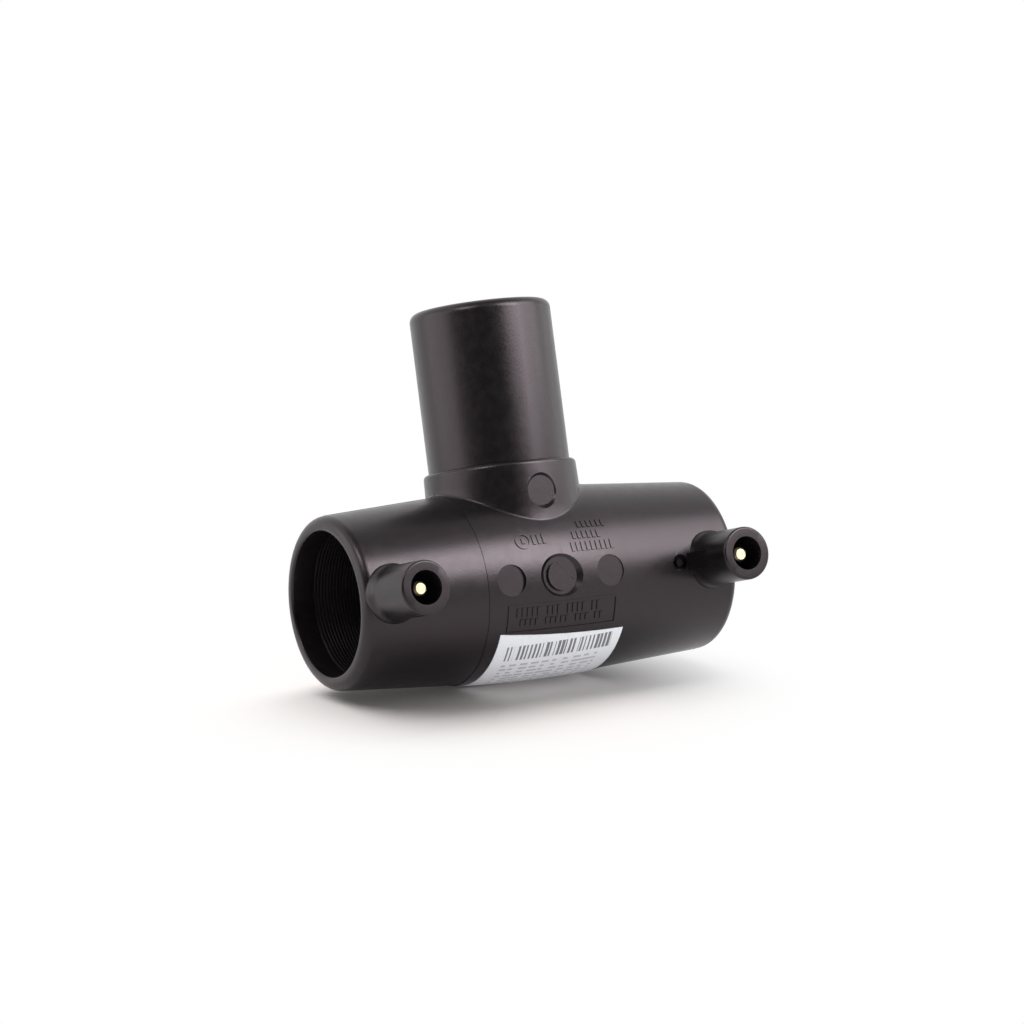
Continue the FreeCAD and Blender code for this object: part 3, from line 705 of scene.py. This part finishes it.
def label_material():
    material, tree, output = new_material("printed_label_paper")
    parts = add_node(tree, "SeparateXYZ", Vector=(unrolled(tree), "Vector"))
    across, down = (parts, "X"), (parts, "Y")
    place = add_node(tree, "TexCoord")
    fibres = add_node(tree, "TexNoise", Vector=(place, "Object"), Scale=1 / FIBRE_SIZE, Detail=5.0)
    paper = add_node(
        tree, "ValToRGB", {"stops": ((0.3, "e4e6ec"), (0.75, "f0f2f6"))}, Fac=(fibres, "Fac"),
    )
    bars = add_node(
        tree, "Mix", {"data_type": "RGBA"}, _0=(bar_print(tree, across, down), "Value"),
        _6=(paper, "Color"), _7=linear("7a797e"),
    )
    ink = add_node(
        tree, "Mix", {"data_type": "RGBA"}, _0=(line_print(tree, across, down), "Value"),
        _6=(bars, MIXED_COLOUR), _7=linear("bebec1"),
    )
    bump = add_node(tree, "Bump", Height=(fibres, "Fac"), Strength=0.2, Distance=0.02 * MM)
    shader = add_node(
        tree, "BsdfPrincipled", Base_Color=(ink, MIXED_COLOUR), Roughness=0.5, IOR=1.45,
        Normal=(bump, "Normal"),
    )
    tree.links.new(shader.outputs["BSDF"], output.inputs["Surface"])
    return material


give_material(paper_label, label_material())
print("label:", paper_label.data.materials[0].name)

# %% [markdown]
# ## The studio
#
# In the picture the fitting lies on a white sweep and leans back on its round belly. The studio is
# set up in its own axes, with up as up, and one rotation brings these to the fitting's axes. Its
# floor is a plane just under the belly.
#
# Under the fitting the floor is pale cloth that takes the shadow. Further out it turns slowly to a
# white that shines by itself as brightly as the room behind it, so no horizon shows. That glow also
# paints light over the outer part of the shadow, and a faint glow lifts the shadow itself. Seen from
# below it is clear, so that a camera under the floor sees the belly too.

# %% Studio axes and floor
LEAN = math.radians(14.4)
STUDIO = Matrix.Rotation(LEAN, 4, "X")
FLOOR_HALF = 6.0
FLOOR_DEPTH = CREST_RADIUS + 0.1 * MM   # a hair below the belly, so that nothing pokes through
# The floor's glow is centred here, left of the middle, so its painted light thins the shadow's right end
# more than its left.
SHADOW_CENTRE = (-21 * MM, -7 * MM, -FLOOR_DEPTH)
SHADOW_REACH = 30 * MM      # inside this the floor is plain lit cloth
SWEEP_START = 100 * MM      # beyond this it is the white backdrop
# Inside the reach the floor still glows this much: a painted lift in the shadow that stands in for the
# room's stray light.
SHADOW_LIFT = 0.02          # stray light that the whole room throws into the shadow


def make_floor():
    bpy.ops.object.select_all(action="DESELECT")
    bpy.ops.mesh.primitive_plane_add(size=2 * FLOOR_HALF)
    floor = bpy.context.object
    floor.name = "floor"
    floor.data.transform(STUDIO @ Matrix.Translation((0, 0, -FLOOR_DEPTH)))
    material, tree, output = new_material("floor_sweep")
    side = add_node(tree, "NewGeometry")
    place = add_node(tree, "TexCoord")
    centre = STUDIO @ Vector(SHADOW_CENTRE)
    distance = add_node(tree, "VectorMath", {"operation": "DISTANCE"}, _0=(place, "Object"), _1=centre)
    # How much the floor glows: a faint painted lift near the fitting, rising to paint light over the
    # outer shadow, then the even white backdrop.
    glow = add_node(
        tree, "MapRange", {"interpolation_type": "SMOOTHSTEP"}, Value=(distance, "Value"),
        From_Min=SHADOW_REACH, From_Max=SWEEP_START, To_Min=SHADOW_LIFT, To_Max=1.0,
    )
    cloth = add_node(tree, "BsdfDiffuse", Color=linear("e9e4e2"))
    white = add_node(tree, "Emission", Color=linear("ffffff"), Strength=1.0)
    sweep = add_node(tree, "MixShader", _0=(glow, "Result"), _1=(cloth, "BSDF"), _2=(white, "Emission"))
    clear = add_node(tree, "BsdfTransparent")
    both = add_node(tree, "MixShader", _0=(side, "Backfacing"), _1=(sweep, "Shader"), _2=(clear, "BSDF"))
    tree.links.new(both.outputs["Shader"], output.inputs["Surface"])
    give_material(floor, material)
    print("floor:", material.name)


make_floor()

# %% [markdown]
# ## The room
#
# Glossy black plastic shows little but the walls and the lamps that it mirrors. So the world is plain
# white for the camera, and has two dark parts in the gloss. Straight behind the camera it is nearly
# black, which gives the dark band down the spigot, and the ceiling is dim, which darkens the top of
# the run. On what isn't glossy the world is weak, so that the lamps draw the shadow.

# %% World
CAMERA_WAY = (-0.499, -0.865, -0.05)    # direction of the room's dark part, behind the camera
CEILING_WAY = tuple(STUDIO @ Vector((0, 0, 1)))
BACK_EDGE = (0.45, 0.85)        # the dark part begins and is full at these cosines of the angle to it
CEILING_EDGE = (0.8, 0.97)      # and the ceiling at these
ROOM_IN_GLOSS = (1.0, 0.03)     # how bright the room is mirrored: all round, and behind the camera
CEILING_IN_GLOSS = 0.25         # the same for the ceiling
ROOM_ON_MATT = 0.25             # how much the room lights what isn't glossy


def make_world():
    world = bpy.data.worlds.new("studio_room")
    bpy.context.scene.world = world
    world.use_nodes = True
    tree = world.node_tree
    tree.nodes.clear()
    output = add_node(tree, "OutputWorld")
    place = add_node(tree, "TexCoord")
    rays = add_node(tree, "LightPath")
    ahead = add_node(
        tree, "VectorMath", {"operation": "DOT_PRODUCT"}, _0=(place, "Generated"), _1=CAMERA_WAY,
    )
    room = add_node(
        tree, "MapRange", Value=(ahead, "Value"), From_Min=BACK_EDGE[0], From_Max=BACK_EDGE[1],
        To_Min=ROOM_IN_GLOSS[0], To_Max=ROOM_IN_GLOSS[1],
    )
    above = add_node(
        tree, "VectorMath", {"operation": "DOT_PRODUCT"}, _0=(place, "Generated"), _1=CEILING_WAY,
    )
    ceiling = add_node(
        tree, "MapRange", Value=(above, "Value"), From_Min=CEILING_EDGE[0], From_Max=CEILING_EDGE[1],
        To_Min=ROOM_IN_GLOSS[0], To_Max=CEILING_IN_GLOSS,
    )
    in_gloss = add_node(
        tree, "Math", {"operation": "MINIMUM"}, _0=(room, "Result"), _1=(ceiling, "Result"),
    )
    seen = add_node(
        tree, "Math", {"operation": "MAXIMUM"},
        _0=(rays, "Is Camera Ray"), _1=(rays, "Is Transmission Ray"),
    )
    unseen = add_node(
        tree, "Mix", {"data_type": "FLOAT"},
        _0=(rays, "Is Glossy Ray"), _2=ROOM_ON_MATT, _3=(in_gloss, "Value"),
    )
    level = add_node(
        tree, "Mix", {"data_type": "FLOAT"}, _0=(seen, "Value"), _2=(unseen, "Result"), _3=1.0,
    )
    sky = add_node(tree, "Background", Color=linear("ffffff"), Strength=(level, "Result"))
    tree.links.new(sky.outputs["Background"], output.inputs["Surface"])
    print("world:", world.name)


make_world()

# %% [markdown]
# ## Light
#
# Each lamp is placed where the plastic should carry its image. A softbox to the right, one above it
# and a card beyond them make the bright bands on the run and the spigot. One at the far left edges
# the left socket, and a small card above it puts the glint on the left mouth's rim. All of these
# only show in the gloss.
#
# Two more light the floor and the paper but aren't mirrored: a wide one overhead that draws the soft
# shadow, and a thin one low in front that lights the label.

# %% Lamps
def add_softbox(name, azimuth, elevation, distance, width, height, radiance, lights=True, mirrored=True):
    """Rectangular lamp that faces the fitting. Azimuth 0 is in front of it and 90 is to the right."""
    turn, rise = math.radians(azimuth), math.radians(elevation)
    towards = Vector((math.sin(turn) * math.cos(rise), -math.cos(turn) * math.cos(rise), math.sin(rise)))
    lamp = bpy.data.lights.new(name, "AREA")
    lamp.shape = "RECTANGLE"
    lamp.size, lamp.size_y = width, height
    lamp.energy = radiance * math.pi * width * height
    holder = bpy.data.objects.new(name, lamp)
    bpy.context.collection.objects.link(holder)
    facing = towards.to_track_quat("Z", "Y").to_matrix().to_4x4()
    holder.matrix_world = STUDIO @ Matrix.Translation(towards * distance) @ facing
    holder.visible_diffuse = lights
    holder.visible_glossy = mirrored
    print("lamp:", name)


# azimuth and elevation in degrees, distance, width and height in metres, and radiance
add_softbox("right_softbox", 52, 34, 0.5, 0.40, 0.29, 3.2, lights=False)
add_softbox("upper_softbox", 27, 42, 1.0, 0.48, 0.54, 6.7, lights=False)
add_softbox("right_card", 85, 8, 1.0, 0.6, 0.3, 0.7, lights=False)
add_softbox("left_softbox", -112, 14, 0.6, 0.50, 0.40, 1.0, lights=False)
add_softbox("left_card", -68, 50, 0.6, 0.20, 0.16, 6.0, lights=False)
add_softbox("overhead_softbox", 193, 68, 0.9, 2.2, 0.6, 4.2, mirrored=False)
add_softbox("front_fill", -5, 2, 0.9, 0.8, 0.11, 13.0, mirrored=False)

# %% [markdown]
# ## Camera
#
# The picture was taken with a long lens from about a metre away, 30 degrees to the left of the
# terminals and a little above the fitting. These numbers came from matching corners of the CAD model
# with the same corners in the photograph.

# %% Camera
CAMERA_TURN = math.radians(30.004)
CAMERA_RISE = math.radians(2.883)
CAMERA_ROLL = math.radians(-7.233)
CAMERA_PLACE = Vector((-0.55156, -0.95923, -0.03555))
CAMERA_LENS = 138.09                    # millimetres, for a sensor 36 mm wide


def add_camera():
    data = bpy.data.cameras.new("camera")
    data.sensor_width = 36.0
    data.lens = CAMERA_LENS
    data.clip_start, data.clip_end = 0.05, 50.0
    camera = bpy.data.objects.new("camera", data)
    bpy.context.collection.objects.link(camera)
    camera.matrix_world = (
        Matrix.Translation(CAMERA_PLACE)
        @ Matrix.Rotation(-CAMERA_TURN, 4, "Z")
        @ Matrix.Rotation(math.pi / 2 + CAMERA_RISE, 4, "X")
        @ Matrix.Rotation(CAMERA_ROLL, 4, "Z")
    )
    bpy.context.scene.camera = camera
    print("camera:", data.lens, "mm lens")


add_camera()
bpy.context.scene.view_settings.view_transform = "Standard"
